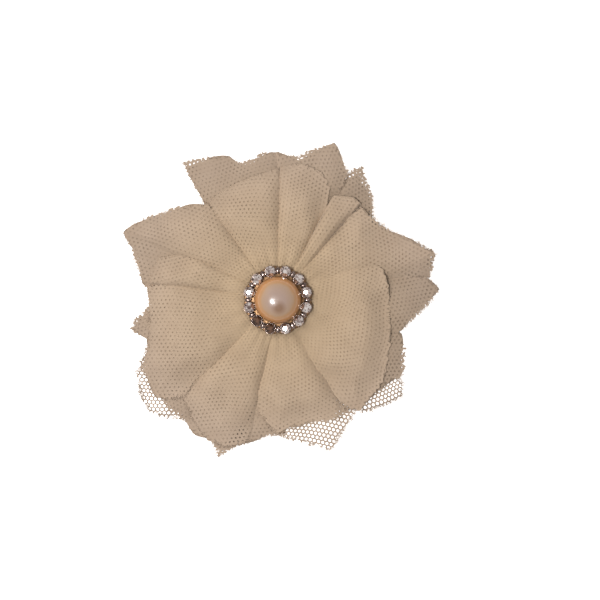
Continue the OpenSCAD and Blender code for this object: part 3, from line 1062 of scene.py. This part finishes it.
def add_spring():
    """The spring's wire: a rising leg, four and a half turns, a flat leg."""
    low, high = box_mm("hinge_pin")
    x, z = (low.x + high.x) / 2, (low.z + high.z) / 2
    turns, coil, half, wire = 4.5, 1.2, 1.15, 0.25
    rise = math.tan(math.radians(17.5))
    path = [(x - d, -half, z + coil + 0.12 + (d - 1) * rise * 1.12)
            for d in (7, 5.5, 4, 2.8, 1.8)]
    path.append((x - 0.9, -half, z + coil + 0.06))
    steps = int(turns * 28)
    for k in range(steps + 1):
        a = math.pi / 2 - 2 * math.pi * turns * k / steps
        path.append((x + coil * math.cos(a), -half + 2 * half * k / steps,
                     z + coil * math.sin(a)))
    path += [(x - d, half, z - coil - 0.017 * d) for d in (1.2, 3, 5, 7)]
    spring = add_mesh("spring_wire", tube(path, wire), metal(
        "spring_wire_steel", (0.5, 0.5, 0.52), (0.3, 0.3, 0.32), 0.28))
    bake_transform(spring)
    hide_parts("torsion_spring")


def fuzz(anchors, headings, length, width, seed):
    """Short curled fibres from anchor points, as one part."""
    rng = np.random.default_rng(seed)
    parts = []
    for anchor, heading in zip(anchors, headings):
        way = heading / np.linalg.norm(heading)
        curl = rng.normal(0, 0.35, 3)
        step = length * rng.uniform(0.4, 1.2) / 4
        path = [anchor - way * step]
        for _ in range(4):
            path.append(path[-1] + way * step)
            way = way + curl
            way = way / np.linalg.norm(way)
        parts.append(tube(path, width / 2 * np.linspace(1, 0.5, 5), 3))
    return join_parts(parts)


def add_felt():
    low, high = box_mm("felt_backing")
    r, edge = high.x - 0.15, 0.22
    face = np.linspace(0.4, r - edge, 30)
    levels = [(0, low.z), *[(q, low.z) for q in face],
              (r - 0.06, low.z + 0.1), (r, low.z + 0.35),
              (r, high.z - 0.35), (r - 0.06, high.z - 0.1),
              *[(q, high.z) for q in face[::-1]], (0, high.z)]
    verts, quads, tris = lathe(levels, 160, lambda a: (
        1 + 0.006 * np.sin(5 * a + 1) + 0.004 * np.sin(13 * a)))
    rng = np.random.default_rng(41)
    skin = np.hypot(verts[:, 0], verts[:, 1]) < r - edge / 2
    verts[:, 2] += 0.05 * skin * np.where(
        verts[:, 2] > (low.z + high.z) / 2, -1, 1) * rng.random(len(verts))
    a = rng.uniform(0, 2 * math.pi, 420)
    out = np.column_stack([np.cos(a), np.sin(a), rng.normal(0, 0.5, 420)])
    roots = out * r
    roots[:, 2] = rng.uniform(low.z + 0.15, high.z - 0.15, 420)
    rim = fuzz(roots, out, 0.5, 0.035, 42)
    a, q = rng.uniform(0, 2 * math.pi, 500), r * np.sqrt(rng.random(500))
    roots = np.column_stack([q * np.cos(a), q * np.sin(a),
                             np.full(500, low.z + 0.05)])
    flat = np.column_stack([rng.normal(0, 1, (500, 2)),
                            np.full(500, -0.25)])
    under = fuzz(roots, flat, 0.5, 0.03, 43)
    under[0][:, 2] = np.maximum(under[0][:, 2], low.z - 0.08)
    mat = Mat("felt_wool", Roughness=0.95, Sheen_Weight=0.5,
              Sheen_Roughness=0.6, Specular_IOR_Level=0.1)
    mat.link(mat.spread(mat.noise(1400.0, 6.0, 0.7), (0.5, 0.42, 0.31),
                        (0.72, 0.64, 0.5)), "Base Color")
    mat.bump(mat.noise(5200.0, 4.0), 0.6, 0.00008)
    felt = piece_for("felt_backing", "felt_disc",
                     join_parts([(verts, quads, tris), rim, under]),
                     mat.material)


def wobbly(size, seed):
    """A lathe's wave for something round that isn't quite regular."""
    phases = np.random.default_rng(seed).uniform(0, 2 * math.pi, 3)
    return lambda a: 1 - size + size * (
        np.sin(2 * a + phases[0]) + np.sin(3 * a + phases[1])
        + 0.6 * np.sin(7 * a + phases[2])) / 2.6


def blob(low, high, r, wave):
    """A flat disc of glue with a round rim."""
    h = (high.z - low.z) / 2
    rim = [(r - h + h * math.cos(t), low.z + h + h * math.sin(t))
           for t in np.linspace(-math.pi / 2, math.pi / 2, 9)]
    return lathe([(0, low.z), *rim, (0, high.z)], 96, wave)


def add_glue():
    """Hot glue that has set where it was pressed out."""
    mat = Mat("hot_glue_set", Roughness=0.28, Coat_Weight=0.4,
              Coat_Roughness=0.1, Specular_IOR_Level=0.5)
    mat.link(mat.spread(mat.noise(500.0), (0.62, 0.57, 0.45),
                        (0.78, 0.74, 0.64)), "Base Color")
    mat.bump(mat.noise(900.0), 0.3, 0.0001)
    low, high = box_mm("flower_glue")
    piece_for("flower_glue", "flower_glue_pad",
              blob(low, high, high.x, wobbly(0.04, 51)), mat.material)
    low, high = box_mm("button_glue")
    wide, stem = high.x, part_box("front_gathering_thread")[1].x / MM - 0.9
    neck = high.z - 0.35
    profile = [(0, low.z), (stem - 0.3, low.z), (stem, low.z + 0.3),
               (stem, neck - 0.3), (stem + 0.3, neck),
               (wide - 0.2, neck), (wide, neck + 0.17),
               (wide - 0.1, high.z), (0, high.z)]
    piece_for("button_glue", "button_glue_stem",
              lathe(profile, 72, wobbly(0.03, 52)), mat.material)
    low, high = box_mm("clip_glue")
    strip = blob(low, high, high.y, wobbly(0.05, 53))
    half = (high.x - low.x) / 2 - high.y
    strip[0][:, 0] += (half * np.tanh(strip[0][:, 0] * 3)
                       + (low.x + high.x) / 2)
    piece_for("clip_glue", "clip_glue_strip", strip, mat.material)


def add_threads():
    """Two-ply thread, drawn tight round the gathered petals and knotted."""
    mat = Mat("sewing_thread", Roughness=0.7, Sheen_Weight=0.2,
              Specular_IOR_Level=0.25)
    mat.link(mat.spread(mat.noise(2500.0), (0.42, 0.31, 0.2),
                        (0.58, 0.46, 0.32)), "Base Color")
    for tier in ("back", "front"):
        low, high = box_mm(tier + "_gathering_thread")
        z = (low.z + high.z) / 2
        ring = high.x - 0.2
        turn = np.linspace(0, 2 * math.pi, 240, endpoint=False)
        parts = []
        for ply in (0, math.pi):
            twist = 40 * turn + ply
            q = ring + 0.1 * np.cos(twist)
            parts.append(tube(np.column_stack([
                q * np.cos(turn), q * np.sin(turn),
                z + 0.1 * np.sin(twist)]), 0.1, 8, closed=True))
        for at in (70, 95):
            a = math.radians(at)
            t = np.linspace(0, 2 * math.pi, 40, endpoint=False)
            knot = np.column_stack([
                (np.sin(t) + 2 * np.sin(2 * t)) * 0.09,
                (np.cos(t) - 2 * np.cos(2 * t)) * 0.09,
                -np.sin(3 * t) * 0.09])
            loop = tube(knot, 0.08, 8, closed=True)
            parts.append(turned(loop, a, (ring * math.cos(a),
                                          ring * math.sin(a), z)))
        piece_for(tier + "_gathering_thread", tier + "_thread_loop",
                  join_parts(parts), mat.material)


add_clip()
add_felt()
add_glue()
add_threads()


# ---- stage and light ----

def add_stage():
    mat = Mat("floor_paper", Roughness=0.9, Specular_IOR_Level=0.1,
              Emission_Color=(1.0, 1.0, 1.0, 1.0), Emission_Strength=0.8)
    mat.link(mat.ramp(mat.noise(30.0), (0.0, 0.93), (1.0, 0.95)),
             "Base Color")
    side, z = 1500, cad_low.z / MM - 0.3
    verts = np.array([(-side, -side, z), (side, -side, z),
                      (side, side, z), (-side, side, z)])
    add_mesh("floor", (verts, np.array([[0, 1, 2, 3]]), NO_TRIS),
                      mat.material)


def add_light(name, energy, size, place, glossy, aim=(0, 0, 0.01)):
    data = bpy.data.lights.new(name, "AREA")
    data.energy = energy
    data.shape = "DISK"
    data.size = size
    light = bpy.data.objects.new(name, data)
    light.location = place
    away = Vector(place) - Vector(aim)
    light.rotation_euler = away.to_track_quat("Z", "Y").to_euler()
    light.visible_glossy = glossy
    bpy.context.scene.collection.objects.link(light)


def add_lights():
    world = bpy.data.worlds.new("studio")
    world.use_nodes = True
    background = world.node_tree.nodes["Background"]
    background.inputs["Color"].default_value = (1.0, 1.0, 1.0, 1.0)
    background.inputs["Strength"].default_value = 0.5
    bpy.context.scene.world = world
    add_light("key", 2.8, 0.5, (-0.42, 0.34, 0.5), False)
    add_light("glint", 1.1, 0.085, (-0.105, -0.03, 0.42), True)


add_stage()
add_lights()
bpy.context.scene.view_settings.view_transform = "Standard"
